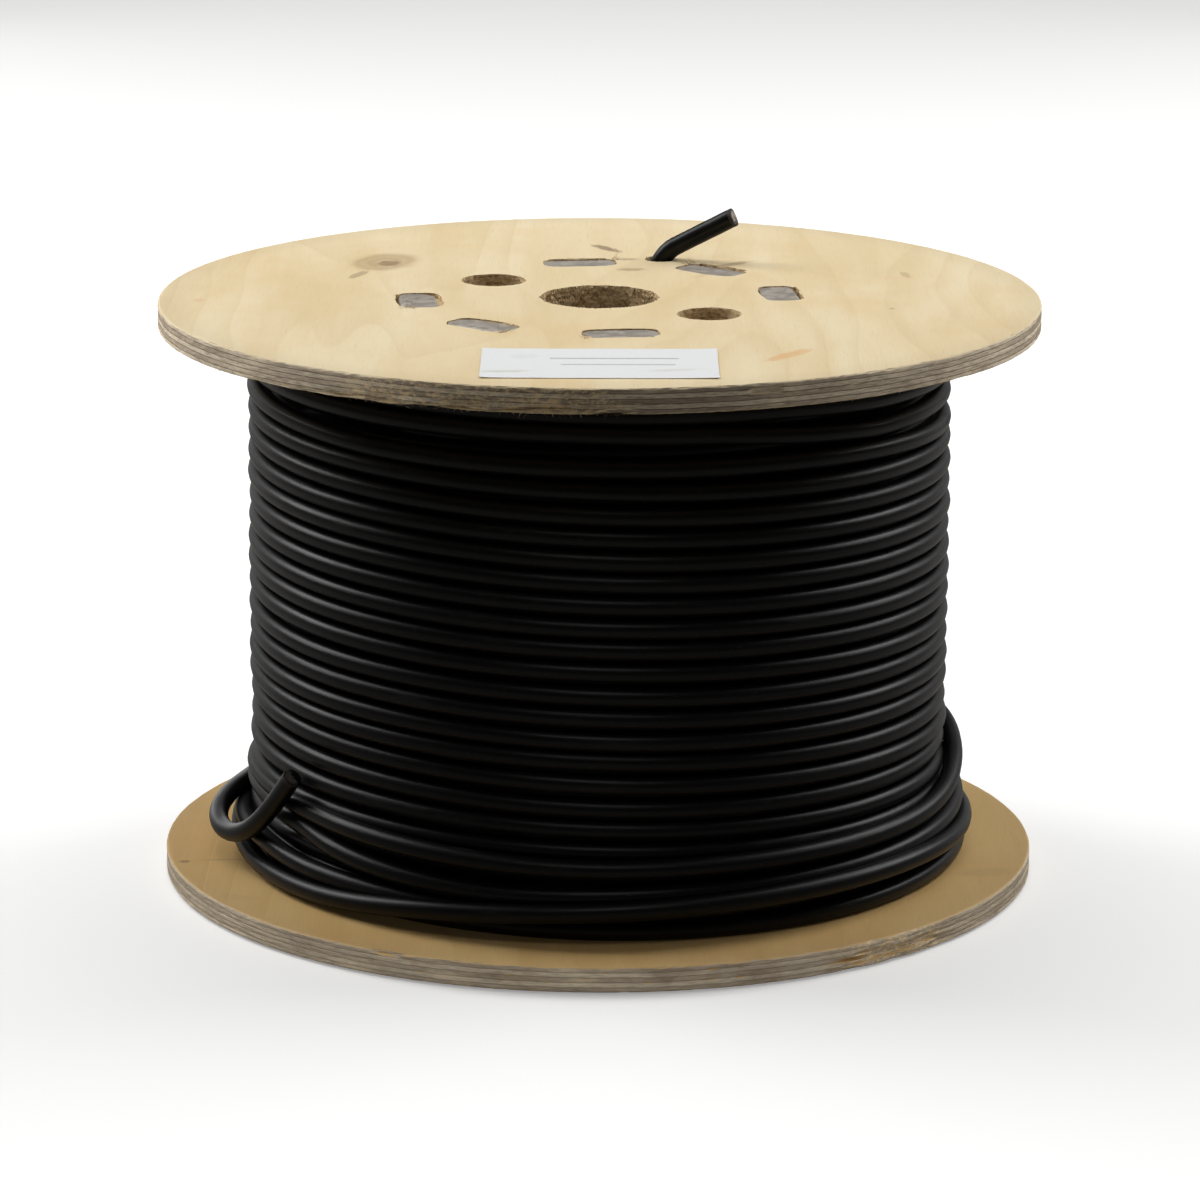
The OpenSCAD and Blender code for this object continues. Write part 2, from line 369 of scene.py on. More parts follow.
class Tree:
    """Adds nodes to one node tree. Inputs are values or other nodes' outputs."""

    def __init__(self, tree):
        self.tree = tree

    def new(self, kind, inputs, **settings):
        node = self.tree.nodes.new(kind)
        column, row = len(self.tree.nodes) % 12, len(self.tree.nodes) // 12
        node.location = (220 * column, -260 * row)
        for key, value in settings.items():
            setattr(node, key, value)
        for key, value in inputs.items():
            if isinstance(value, bpy.types.NodeSocket):
                self.tree.links.new(value, node.inputs[key])
            else:
                node.inputs[key].default_value = value
        return node.outputs

    def add(self, kind, inputs=None, out=0, **settings):
        return self.new(kind, inputs or {}, **settings)[out]

    def group(self, tree, inputs):
        return self.new("ShaderNodeGroup", inputs, node_tree=tree)

    def math(self, operation, a, b=0.0, c=0.0, clamp=False):
        return self.add("ShaderNodeMath", {0: a, 1: b, 2: c}, operation=operation, use_clamp=clamp)

    def vector(self, operation, a, b=(0, 0, 0), out=0):
        return self.add("ShaderNodeVectorMath", {0: a, 1: b}, out, operation=operation)

    def parts(self, v):
        return self.new("ShaderNodeSeparateXYZ", {0: v})

    def stretch(self, v, scale, turn=0.0):
        return self.add("ShaderNodeMapping", {"Vector": v, "Rotation": (0, 0, turn), "Scale": scale})

    def noise(self, v, scale=1.0, detail=3.0, rough=0.5, distortion=0.0):
        inputs = {"Vector": v, "Scale": scale, "Detail": detail, "Roughness": rough, "Distortion": distortion}
        return self.add("ShaderNodeTexNoise", inputs, "Fac")

    def remap(self, value, low, high, to_low=0.0, to_high=1.0):
        inputs = {"Value": value, "From Min": low, "From Max": high, "To Min": to_low, "To Max": to_high}
        return self.add("ShaderNodeMapRange", inputs, interpolation_type="SMOOTHSTEP")

    def mix(self, factor, a, b):
        return self.add("ShaderNodeMix", {0: factor, 6: a, 7: b}, 2, data_type="RGBA")

    def blend(self, factor, a, b):
        return self.add("ShaderNodeMix", {0: factor, 2: a, 3: b}, data_type="FLOAT")

    def bumped(self, height, distance):
        return self.add("ShaderNodeBump", {"Height": height, "Distance": distance})

    def finish(self, inputs):
        """One Principled shader with these inputs, straight to the output."""
        self.new("ShaderNodeOutputMaterial", {"Surface": self.add("ShaderNodeBsdfPrincipled", inputs)})


def new_group(name, inputs):
    """A shader node group with named inputs and their defaults. Returns its Tree and what
    comes in; finish_group adds its outputs."""
    tree = bpy.data.node_groups.new(name, "ShaderNodeTree")
    for label, default in inputs.items():
        kind = "NodeSocketVector" if isinstance(default, tuple) else "NodeSocketFloat"
        tree.interface.new_socket(label, in_out="INPUT", socket_type=kind).default_value = default
    return Tree(tree), tree.nodes.new("NodeGroupInput").outputs


def finish_group(t, results):
    for label in results:
        t.tree.interface.new_socket(label, in_out="OUTPUT", socket_type="NodeSocketFloat")
    t.new("NodeGroupOutput", results)
    return t.tree


def group_once(build):
    """The group that build makes, made only the first time. Its name opens build's docstring."""
    found = bpy.data.node_groups.get(build.__doc__.split(":")[0])
    return found or build()


def wood_figure():
    """Wood figure: slow bands, contour lines, fine fibres and blotches, drawn out along Y."""
    t, given = new_group("Wood figure", {"Position": (0, 0, 0), "Seed": 0.0})
    offset = t.add("ShaderNodeCombineXYZ", {0: given["Seed"], 1: given["Seed"], 2: given["Seed"]})
    here = t.vector("ADD", given["Position"], offset)
    bands = t.noise(t.stretch(here, (55, 7, 20)), detail=4, rough=0.55, distortion=0.6)
    hills = t.noise(t.stretch(here, (15, 3.0, 10)), detail=2, rough=0.35, distortion=0.25)
    steps = t.math("FRACT", t.math("MULTIPLY", hills, 11.0))
    lines = t.math("MULTIPLY", t.math("POWER", steps, 3.0), t.remap(steps, 1.0, 0.93))
    fibres = t.noise(t.stretch(here, (2600, 110, 900)), detail=2, rough=0.6)
    blotches = t.noise(t.stretch(here, (22, 16, 20)), detail=3, rough=0.6)
    return finish_group(t, {"Bands": bands, "Lines": lines, "Fibres": fibres, "Blotches": blotches})


def wood_mark():
    """Wood mark: an oval knot or streak, with its strength and its rings."""
    origin = (0, 0, 0)
    t, given = new_group("Wood mark", {
        "Position": origin, "Centre": origin, "Spread": (0.01, 0.01, 1), "Turn": 0.0, "Ragged": 0.25,
    })
    offset = t.vector("SUBTRACT", given["Position"], given["Centre"])
    rotation = {"Vector": offset, "Angle": given["Turn"]}
    own_axes = t.add("ShaderNodeVectorRotate", rotation, rotation_type="Z_AXIS")
    oval = t.vector("MULTIPLY", t.vector("DIVIDE", own_axes, given["Spread"]), (1, 1, 0))
    wobble = t.math("MULTIPLY", t.math("SUBTRACT", t.noise(oval, 2.2, 3), 0.5), given["Ragged"])
    far = t.math("MULTIPLY_ADD", wobble, 3.0, t.vector("LENGTH", oval, out="Value"))
    rings = t.math("POWER", t.math("ABSOLUTE", t.math("SINE", t.math("MULTIPLY", far, 9.0))), 2.0)
    return finish_group(t, {"Strength": t.remap(far, 1.05, 0.55), "Rings": rings})


def ply_layers():
    """Ply layers: the alternating plies on an edge, from the share of the thickness below."""
    t, given = new_group("Ply layers", {"Share": 0.0, "Position": (0, 0, 0), "Plies": 5.0})
    here = given["Position"]
    wander = t.math("SUBTRACT", t.noise(t.stretch(here, (60, 60, 60)), detail=2), 0.5)
    level = t.math("MULTIPLY_ADD", wander, 0.35, t.math("MULTIPLY", given["Share"], given["Plies"]))
    odd = t.math("PINGPONG", t.math("FLOOR", level), 1.0)
    near = t.math("ABSOLUTE", t.math("SUBTRACT", t.math("FRACT", t.math("ADD", level, 0.5)), 0.5))
    heading = t.parts(t.vector("NORMALIZE", t.vector("MULTIPLY", here, (1, 1, 0))))
    end_grain = t.math("ABSOLUTE", t.math("SUBTRACT", odd, t.math("POWER", heading[1], 2.0)))
    pores = t.noise(t.stretch(here, (300, 300, 3600)), detail=4, rough=0.65)
    crumbs = t.noise(t.stretch(here, (480, 480, 1000)), detail=5, rough=0.7)
    stain = t.noise(t.stretch(here, (45, 45, 150)), detail=4, rough=0.65)
    glue = t.remap(near, 0.13, 0.03)
    results = {"Cross": end_grain, "Glue": glue, "Pores": pores, "Crumbs": crumbs, "Stain": stain}
    return finish_group(t, results)


def scuffs():
    """Scuffs: dust and rubbed patches, as a share of the surface."""
    t, given = new_group("Scuffs", {"Position": (0, 0, 0), "Size": 60.0, "Amount": 0.3})
    cloud = t.noise(given["Position"], given["Size"], 5, 0.65)
    low = t.math("SUBTRACT", 0.75, t.math("MULTIPLY", given["Amount"], 0.45))
    patches = t.remap(cloud, low, t.math("ADD", low, 0.2))
    fine = t.noise(given["Position"], t.math("MULTIPLY", given["Size"], 14.0), 2, 0.5)
    return finish_group(t, {"Patches": patches, "Specks": t.remap(fine, 0.68, 0.76)})


def new_material(name):
    made = bpy.data.materials.new(name)
    made.use_nodes = True
    made.node_tree.nodes.clear()
    return made, Tree(made.node_tree)


def tinted(c, *shares):
    """A colour with its red, green and blue each multiplied by a share."""
    return (*[v * share for v, share in zip(c, shares)], 1)


def scuffed(t, here, size, amount):
    return t.group(group_once(scuffs), {"Position": here, "Size": size, "Amount": amount})


def marked(t, here, base, marks, fade):
    """The base colour with marks on it. Each mark has its centre and half sizes in mm, turn in
    degrees, colour, strength and raggedness, and its rings fade it by a share."""
    for centre, spread, turn, tint, strength, ragged in marks:
        mark = t.group(group_once(wood_mark), {
            "Position": here, "Centre": (centre[0] * MM, centre[1] * MM, 0),
            "Spread": (spread[0] * MM, spread[1] * MM, 1), "Turn": math.radians(-turn), "Ragged": ragged,
        })
        rings = t.math("MULTIPLY_ADD", mark["Rings"], -fade * strength, strength)
        base = t.mix(t.math("MULTIPLY", mark["Strength"], rings), base, (*tint, 1))
    return base


# Knots, streaks and stains of the two boards and smears on the label.
UPPER_MARKS = [
    ((-63.0, 51.5), (11.0, 16.0), -14, (0.40, 0.275, 0.13), 0.66, 0.12),
    ((-61.5, 49.5), (4.0, 4.6), 0, (0.22, 0.135, 0.06), 0.70, 0.20),
    ((-69.8, 31.8), (2.0, 7.0), -20, (0.24, 0.15, 0.07), 0.55, 0.25),
    ((2.0, 74.0), (2.4, 8.0), 35, (0.17, 0.10, 0.05), 0.75, 0.40),
    ((9.2, 41.0), (5.0, 2.4), 0, (0.30, 0.18, 0.08), 0.55, 0.50),
    ((51.0, -80.5), (3.0, 11.5), -36, (0.72, 0.36, 0.12), 0.55, 0.35),
    ((30.0, 33.0), (2.5, 8.0), -30, (0.62, 0.42, 0.22), 0.35, 0.30),
    ((88.5, 34.0), (1.6, 5.0), 8, (0.36, 0.24, 0.13), 0.45, 0.45),
    ((84.0, 30.0), (9.0, 4.0), 0, (0.78, 0.56, 0.34), 0.30, 0.30),
    ((82.0, -16.0), (1.0, 1.5), 0, (0.35, 0.24, 0.13), 0.50, 0.20),
    ((-113.0, -7.0), (2.2, 3.0), 0, (0.72, 0.40, 0.22), 0.40, 0.40),
    ((8.0, 57.0), (4.0, 2.0), 0, (0.22, 0.13, 0.06), 0.50, 0.45),
    ((38.0, 49.0), (10.0, 2.2), 40, (0.24, 0.14, 0.07), 0.55, 0.40),
]
LOWER_MARKS = [
    ((-118.0, -28.0), (2.0, 1.4), 0, (0.16, 0.09, 0.04), 0.65, 0.40),
    ((-105.0, -26.0), (12.0, 0.7), 3, (0.30, 0.19, 0.09), 0.45, 0.30),
    ((110.0, -36.0), (9.0, 4.5), 10, (0.40, 0.25, 0.12), 0.28, 0.40),
    ((-100.0, -62.0), (8.0, 3.0), -20, (0.50, 0.33, 0.15), 0.25, 0.40),
    ((30.0, -118.0), (10.0, 1.5), 0, (0.50, 0.34, 0.17), 0.25, 0.40),
]
LABEL_MARKS = [
    ((-25.0, -103.5), (8.0, 1.6), 4, (0.52, 0.55, 0.38), 0.45, 0.5),
    ((20.0, -101.5), (9.0, 1.5), 8, (0.60, 0.60, 0.42), 0.38, 0.5),
    ((-20.0, -84.0), (5.0, 3.5), 0, (0.66, 0.66, 0.66), 0.25, 0.5),
]


def veneer(t, here, far, figure, clean, marks):
    """Sanded veneer: figure and marks, darker from handling towards the rim."""
    pale = (*[min(1.0, v * 1.09) for v in clean[:3]], 1)
    warm = tinted(clean, 0.93, 0.84, 0.68)
    face = t.mix(t.remap(figure["Bands"], 0.25, 0.75, 0.25, 0.85), warm, pale)
    face = t.mix(t.math("MULTIPLY", figure["Lines"], 0.20), face, tinted(warm, 0.80, 0.72, 0.58))
    face = t.mix(t.remap(figure["Fibres"], 0.55, 0.85, 0, 0.30), face, tinted(warm, 0.78, 0.70, 0.58))
    face = t.mix(t.remap(figure["Blotches"], 0.45, 0.72, 0, 0.34), face, tinted(warm, 0.97, 0.84, 0.66))
    face = marked(t, here, face, marks, 0.25)
    rim = t.remap(far, 0.112, 0.1252, 0, 0.16)
    soiled = t.math("MULTIPLY_ADD", scuffed(t, here, 38.0, 0.35)["Patches"], 0.07, rim)
    return t.mix(soiled, face, (0.42, 0.32, 0.20, 1))


def ply_edge(t, here, plies, shade, contrast, rough_span):
    """Sawn edge: light and dark plies, glue lines and stains, crumbled in a span of degrees."""
    light, dark = (tinted(colours()[k], shade, shade, shade) for k in ("edge_light", "edge_dark"))
    cross = t.math("MULTIPLY_ADD", plies["Cross"], 0.75 * contrast, 0.40 - 0.32 * contrast, True)
    edge = t.mix(cross, light, dark)
    edge = t.mix(t.remap(plies["Pores"], 0.42, 0.64, 0, 0.55 * contrast), edge, tinted(dark, 0.55, 0.5, 0.45))
    edge = t.mix(t.remap(plies["Stain"], 0.50, 0.72, 0, 0.55), edge, tinted(dark, 0.7, 0.66, 0.62))
    edge = t.mix(t.remap(plies["Stain"], 0.48, 0.30, 0, 0.35), edge, tinted(light, 1.25, 1.2, 1.1))
    edge = t.mix(t.math("MULTIPLY", plies["Glue"], 0.72 * contrast), edge, tinted(dark, 0.42, 0.36, 0.32))
    low, high = rough_span
    middle, half = math.radians((low + high) / 2 - 360), math.radians((high - low) / 2)
    axes = t.parts(here)
    away = t.math("ABSOLUTE", t.math("SUBTRACT", t.math("ARCTAN2", axes[1], axes[0]), middle))
    frayed = t.math("MULTIPLY", t.remap(away, half + 0.05, half - 0.05), t.remap(plies["Crumbs"], 0.46, 0.60))
    return t.mix(t.math("MULTIPLY", frayed, 0.60), edge, tinted(light, 1.3, 1.15, 0.85))


def torn_wood_and_painted_light(t, plies):
    """Rough brown walls of the holes."""
    torn = t.mix(t.remap(plies["Crumbs"], 0.42, 0.62), colours()["torn"], (0.46, 0.30, 0.14, 1))
    torn = t.mix(t.math("MULTIPLY", plies["Glue"], 0.3), torn, (0.18, 0.11, 0.05, 1))
    return t.mix(t.remap(plies["Stain"], 0.55, 0.40, 0, 0.4), torn, (0.90, 0.72, 0.44, 1))


def plywood_material(name, clean, marks, low_z, seed, shade, contrast, rough_span):
    """Sanded veneer on the faces, layered plies on the rim and torn brown wood in the holes."""
    made, t = new_material(name)
    here = t.add("ShaderNodeTexCoord", out="Object")
    far = t.vector("LENGTH", t.vector("MULTIPLY", here, (1, 1, 0)), out="Value")
    figure = t.group(group_once(wood_figure), {"Position": here, "Seed": seed})
    share = t.math("DIVIDE", t.math("SUBTRACT", t.parts(here)[2], low_z), sizes()["flange_t"] * MM)
    plies = t.group(group_once(ply_layers), {"Share": share, "Position": here, "Plies": float(PLIES)})
    inside = t.remap(far, 0.119, 0.115)
    wall = t.mix(inside, ply_edge(t, here, plies, shade, contrast, rough_span), torn_wood_and_painted_light(t, plies))
    upright = t.math("ABSOLUTE", t.parts(t.add("ShaderNodeNewGeometry", out="True Normal"))[2])
    on_face = t.remap(upright, 0.55, 0.85)
    shown = t.mix(on_face, wall, veneer(t, here, far, figure, clean, marks))

    fibres = t.math("MULTIPLY", t.math("SUBTRACT", figure["Fibres"], 0.5), 0.05)
    face_height = t.math("MULTIPLY_ADD", figure["Lines"], -0.12, fibres)
    glue_height = t.math("MULTIPLY", plies["Glue"], 0.25 * contrast)
    rim_height = t.math("SUBTRACT", t.math("MULTIPLY", plies["Pores"], 0.40), glue_height)
    height = t.blend(on_face, t.blend(inside, rim_height, plies["Crumbs"]), face_height)
    rough = t.blend(on_face, 0.92, t.remap(figure["Fibres"], 0.3, 0.8, 0.58, 0.72))
    t.finish({
        "Base Color": shown, "Roughness": rough, "Specular IOR Level": 0.35,
        "Normal": t.bumped(height, 0.0004),
    })
    return made


def jacket_material():
    """Black cable jacket: satin, with fine drawn lines along it, rubbed patches and dust."""
    found = bpy.data.materials.get("Cable jacket")
    if found:
        return found
    made, t = new_material("Cable jacket")
    run = t.add("ShaderNodeAttribute", out="Vector", attribute_name="follow")
    drawn = t.noise(t.stretch(run, (18, 1500, 1500)), detail=2, rough=0.6)
    ripple = t.noise(t.stretch(run, (160, 260, 260)), detail=2, rough=0.5)
    worn = scuffed(t, t.stretch(run, (0.35, 2, 2)), 120.0, 0.45)
    tint = t.mix(t.math("MULTIPLY", worn["Patches"], 0.30), colours()["jacket"], (0.026, 0.025, 0.024, 1))
    tint = t.mix(t.math("MULTIPLY", worn["Specks"], 0.35), tint, (0.075, 0.072, 0.066, 1))
    rough = t.math("MULTIPLY_ADD", worn["Patches"], 0.16, t.remap(drawn, 0.3, 0.7, 0.33, 0.42))
    height = t.math("MULTIPLY_ADD", ripple, 0.8, t.math("MULTIPLY", drawn, 0.10))
    t.finish({
        "Base Color": tint, "Roughness": rough, "Specular IOR Level": 0.19,
        "Normal": t.bumped(height, 0.00008),
    })
    return made


def steel_material():
    """Zinc-coated sheet steel: dull spangle, smudges and fine scratches."""
    c = colours()["steel"]
    made, t = new_material("Zinc-coated steel")
    here = t.add("ShaderNodeTexCoord", out="Object")
    spangle = t.add("ShaderNodeTexVoronoi", {"Vector": here, "Scale": 420.0, "Randomness": 1.0}, "Color")
    grey = t.add("ShaderNodeSeparateColor", {0: spangle})
    base = t.mix(t.remap(grey, 0.1, 0.9), tinted(c, 0.80, 0.79, 0.78), c)
    soiled = scuffed(t, here, 150.0, 0.75)
    base = t.mix(t.math("MULTIPLY", soiled["Patches"], 0.55), base, (0.25, 0.22, 0.18, 1))
    base = t.mix(t.math("MULTIPLY", soiled["Specks"], 0.30), base, (0.22, 0.13, 0.07, 1))
    scratches = t.noise(t.stretch(here, (3200, 240, 600), 0.5), detail=2, rough=0.7)
    base = t.mix(t.remap(scratches, 0.62, 0.74, 0, 0.35), base, (0.62, 0.62, 0.63, 1))
    rough = t.math("MULTIPLY_ADD", soiled["Patches"], 0.22, t.remap(grey, 0, 1, 0.40, 0.55))
    height = t.math("MULTIPLY_ADD", t.noise(here, 260.0, 3), 0.8, t.math("MULTIPLY", scratches, 0.15))
    t.finish({"Base Color": base, "Roughness": rough, "Metallic": 0.45, "Normal": t.bumped(height, 0.00018)})
    return made


# Plain ruled lines on the label: y, lowest and highest x in metres, and strength.
RULED_LINES = ((-0.0865, -0.013, 0.021, 0.60), (-0.0945, -0.010, 0.020, 0.50))


def paper_material():
    """White label paper with faint fibres, two plain ruled lines, yellowish smears and a smudge."""
    c = colours()["paper"]
    made, t = new_material("Label paper")
    here = t.add("ShaderNodeTexCoord", out="Object")
    axes = t.parts(here)
    base = t.mix(t.remap(t.noise(here, 900.0, 4, 0.6), 0.35, 0.7, 0, 0.35), c, tinted(c, 0.93, 0.93, 0.92))
    grain = t.noise(t.stretch(here, (700, 1400, 1)), detail=2)
    for y, low, high, strength in RULED_LINES:
        middle, half = (low + high) / 2, (high - low) / 2
        across = t.remap(t.math("ABSOLUTE", t.math("SUBTRACT", axes[1], y)), 0.00075, 0.00045)
        along = t.remap(t.math("ABSOLUTE", t.math("SUBTRACT", axes[0], middle)), half + 0.0006, half)
        broken = t.remap(grain, 0.30, 0.50, 0.35, strength)
        ink = t.math("MULTIPLY", t.math("MULTIPLY", across, along), broken)
        base = t.mix(ink, base, (0.16, 0.16, 0.18, 1))
    t.finish({
        "Base Color": marked(t, here, base, LABEL_MARKS, 0.0), "Roughness": t.remap(grain, 0, 1, 0.5, 0.62),
        "Specular IOR Level": 0.4, "Normal": t.bumped(t.noise(here, 1500.0, 3), 0.00003),
    })
    return made


def cut_face_material(name, shade):
    """Cut end of the cable, by distance from its middle: copper core, pale insulation, braid
    and black jacket. A low shade leaves it dull and dark."""
    made, t = new_material(name)
    parts = t.parts(t.add("ShaderNodeAttribute", out="Vector", attribute_name="follow"))
    flat = t.add("ShaderNodeCombineXYZ", {0: parts[1], 1: parts[2]})
    wobble = t.math("MULTIPLY", t.math("SUBTRACT", t.noise(flat, 1800.0, 2), 0.5), 0.00025)
    far = t.math("ADD", t.vector("LENGTH", flat, out="Value"), wobble)
    base = t.mix(t.remap(far, 0.00040, 0.00048), (0.40, 0.20, 0.10, 1), (0.40, 0.385, 0.36, 1))
    base = t.mix(t.remap(far, 0.00165, 0.00175), base, (0.30, 0.20, 0.13, 1))
    base = t.mix(t.remap(far, 0.00200, 0.00210), base, (0.022, 0.021, 0.020, 1))
    base = t.mix(t.remap(t.noise(flat, 5200.0, 2), 0.45, 0.75, 0, 0.55), base, (0.05, 0.042, 0.036, 1))
    base = t.mix(1 - shade, base, (0.012, 0.011, 0.010, 1))
    metal = t.remap(far, 0.00048, 0.00040, 0, 0.9 * shade)
    t.finish({
        "Base Color": base, "Roughness": t.remap(far, 0, 0.0027, 0.4, 0.7), "Metallic": metal,
        "Normal": t.bumped(t.noise(flat, 4200.0, 3), 0.0002),
    })
    return made


def fibre_material():
    """Loose slivers of wood, pale with darker spots."""
    made, t = new_material("Wood slivers")
    here = t.add("ShaderNodeTexCoord", out="Object")
    spot = t.noise(here, 420.0, 3)
    base = t.mix(t.remap(spot, 0.35, 0.65), (0.30, 0.20, 0.10, 1), (0.66, 0.51, 0.31, 1))
    grain = t.bumped(t.noise(t.stretch(here, (2000, 2000, 800)), detail=2), 0.0001)
    t.finish({"Base Color": base, "Roughness": t.remap(spot, 0, 1, 0.7, 0.9), "Normal": grain})
    return made


def floor_material():
    """Pale floor that sends little light back up, as a floor between black flags does."""
    c = colours()["floor"]
    made, t = new_material("Pale floor")
    cloud = t.noise(t.add("ShaderNodeTexCoord", out="Object"), 1.4, 2)
    base = t.mix(t.remap(cloud, 0.3, 0.7), c, tinted(c, 0.985, 0.985, 0.985))
    seen = t.add("ShaderNodeLightPath", out="Is Camera Ray")
    t.finish({
        "Base Color": t.mix(seen, (0.32, 0.31, 0.29, 1), base), "Roughness": t.remap(cloud, 0, 1, 0.75, 0.85),
        "Specular IOR Level": 0.2, "Emission Strength": 1.0,
        "Emission Color": t.mix(seen, (0, 0, 0, 1), (0.31, 0.31, 0.31, 1)),
    })
    return made


# ---------------------------------------------------------------- pieces


def finish_piece(piece, slot, *nodes):
    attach(piece, "root")
    if nodes:
        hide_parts(*nodes)


class DRUM_OT_camera(bpy.types.Operator):
    """Puts the camera in front of the drum, a little above it, with a long lens"""

    bl_idname = "cable_drum.add_camera"
    bl_label = "Camera"

    def execute(self, context):
        lens = bpy.data.cameras.new("camera")
        lens.lens, lens.sensor_width = 165.05, 36.0
        lens.clip_start, lens.clip_end = 0.05, 30.0
        camera = bpy.data.objects.new("camera", lens)
        camera.location = (0.0, -1.5322, 0.4670)
        camera.rotation_euler = (math.radians(90 - 14.27), math.radians(-0.17), math.radians(0.030))
        context.scene.collection.objects.link(camera)
        context.scene.camera = camera
        return {"FINISHED"}


def smooth_route(route, count):
    """The route's points, run through by a smooth curve and spaced evenly."""
    points = np.array(route) / MM
    run = distance_run(points)
    return through(run, points, np.linspace(0, run[-1], count))


# Profile of a cut end, from its middle to its wall: distance out as a share of the
# cable's radius, and height in mm over the end of the route.
CUT_PROFILE = (
    (0.02, 0.34), (0.10, 0.34), (0.16, 0.30), (0.19, 0.12), (0.35, 0.10), (0.55, 0.12), (0.62, 0.10),
    (0.66, 0.16), (0.74, 0.18), (0.80, 0.06), (0.93, 0.10), (0.995, 0.02), (0.995, -0.8),
)


def cut_face(name, path, side, radius, slant, shade):
    """A turned disc that closes a cut end: rings of radius rho at height h(rho), tilted a
    little, on the end's own two axes."""
    along = unit(path[-1] - path[-3])
    across, upright = square_to(along, side)
    rho, high = np.array(CUT_PROFILE).T[..., None]
    a = full_circle(48)
    x, y = radius * rho * np.cos(a), radius * rho * np.sin(a)
    rough = blurred_noise(11, x.shape, (0.7, 1.5)) * 0.03
    h = high + (rough + slant * x) * (high > 0)
    points = path[-1] + x[..., None] * across + y[..., None] * upright + h[..., None] * along
    made = shell(points, caps=True, follow=np.stack([h, x, y], -1))
    return mesh_object(name, [made], [cut_face_material(name.replace("_", " "), shade)], 40)


class DRUM_OT_cable_ends(bpy.types.Operator):
    """Adds the cable's inner end, which stands out of the upper flange, and its outer end,
    which swings out over the lower one"""

    bl_idname = "cable_drum.add_cable_ends"
    bl_label = "Cable ends"

    def execute(self, context):
        radius = sizes()["cable_d"] / 2
        for name, node, route, side, run, slant, shade in (
            ("cable_tail", "cable_inner_end", INNER_ROUTE, (0.29, 0.96, 0), INNER_LENGTH, 0.10, 1.0),
            ("cable_loose_end", "cable_outer_end", OUTER_ROUTE, (0, 0, 1), OUTER_LENGTH, 0.16, 0.25),
        ):
            path = smooth_route(route, 120)
            uneven = 1 - 0.006 + 0.004 * blurred_noise(len(name), (len(path),), (6,))
            piece = mesh_object(name, [tube(path, radius * uneven, 32, side)], [jacket_material()], 50)
            finish_piece(piece, "cable_jacket", node)
            face = cut_face(name + "_cut", path, side, radius, slant, shade)
            finish_piece(face, "cable_jacket")
        return {"FINISHED"}


# The outer layer's pitch and that of the layer below, in mm.
OUTER_PITCH, INNER_PITCH = 6.29, 6.3


def layer_height(run, s):
    """Height of the outer layer's cable after run degrees: z0 - pitch (u + 0.154 sin(run -
    272.5 deg)), so that it falls faster in front, plus the uneven places and the drum's
    slight lean."""

    def fall(at):
        return at / 360 + 0.154 * np.sin(np.radians(at - 272.5))

    knots, changes = np.array(UNEVEN, float).T
    z = 133.8 - OUTER_PITCH * (fall(run) - fall(1280.0)) + np.interp(run, knots, changes)
    x = s["winding_d"] / 2 * np.cos(np.radians(run))
    lean = -0.0157 * x * bump(z, 90.0, 45.0, 22.0)
    top = s["drum_h"] - s["flange_t"] - PLAY - s["cable_d"] / 2
    return np.minimum(z + lean, top)


def outer_strand(s):
    """The outer layer and the last turns as one strand: a circle carried along the path
    (r cos a, r sin a, z), where r and z follow the turned angle."""
    begin, joined, end = -160.0, LAST_TURNS[0][0], LAST_TURNS[-1][0]
    run = np.linspace(begin, end, int((end - begin) / 2.6))
    knots, high, far = np.array(LAST_TURNS, float).T
    on_layer = run < joined
    z = np.where(on_layer, layer_height(run, s), through(knots, high, run))
    blend = (np.clip((run - joined + 40) / 40, 0, 1) * on_layer) ** 2
    z = z * (1 - blend) + high[0] * blend
    r = np.where(on_layer, (s["winding_d"] - s["cable_d"]) / 2, through(knots, far, run))
    # The cable wanders a little, but not at its end and not where a flange holds it.
    quiet = np.clip((end - run) / 60, 0, 1)
    free = np.clip((s["drum_h"] - s["flange_t"] - 6 - z) / 4, 0, 1) * np.clip((z - 12.5) / 4, 0, 1)
    seeds = ((3, 9), (4, 50), (5, 8), (6, 40))
    wander = [blurred_noise(seed, run.shape, (reach,)) for seed, reach in seeds]
    z = z + quiet * free * (0.16 * wander[0] + 0.10 * wander[1])
    r = r + quiet * (0.10 * wander[2] + 0.12 * wander[3])
    a = np.radians(run)
    return tube(np.stack([r * np.cos(a), r * np.sin(a), z], -1), s["cable_d"] / 2, 16, (0, 0, 1))


def layer_below(s):
    """The core, wound the other way: r = r0 + sqrt(R^2 - dz^2), dz from the nearest turn."""
    radius = s["cable_d"] / 2
    below = (s["winding_d"] - s["cable_d"]) / 2 - s["layer_step"]
    low, top = s["flange_t"] + PLAY, s["drum_h"] - s["flange_t"] - PLAY
    turn, level = full_circle(180), np.linspace(low, top, 240)
    phase = (level[None, :] - low) / INNER_PITCH - turn[:, None] / (2 * np.pi)
    off = (phase - np.floor(phase) - 0.5) * INNER_PITCH
    side = below + np.sqrt(np.clip(radius**2 - off**2, 0.4**2, None))
    ends = np.linspace(side[:, 0].min(), s["barrel_d"] / 2 + PLAY, 6)
    rows = np.ones((len(turn), 1))
    r = np.hstack([side, rows * ends, rows * ends[::-1]])
    z = np.concatenate([level, np.full(6, top), np.full(6, low)])
    core = ring_body(r, z[None, :], turn)
    around = np.repeat(turn, r.shape[1]) * below
    core["follow"] = np.stack([around, r.ravel() - below, np.tile(z, len(turn))], -1)
    return core


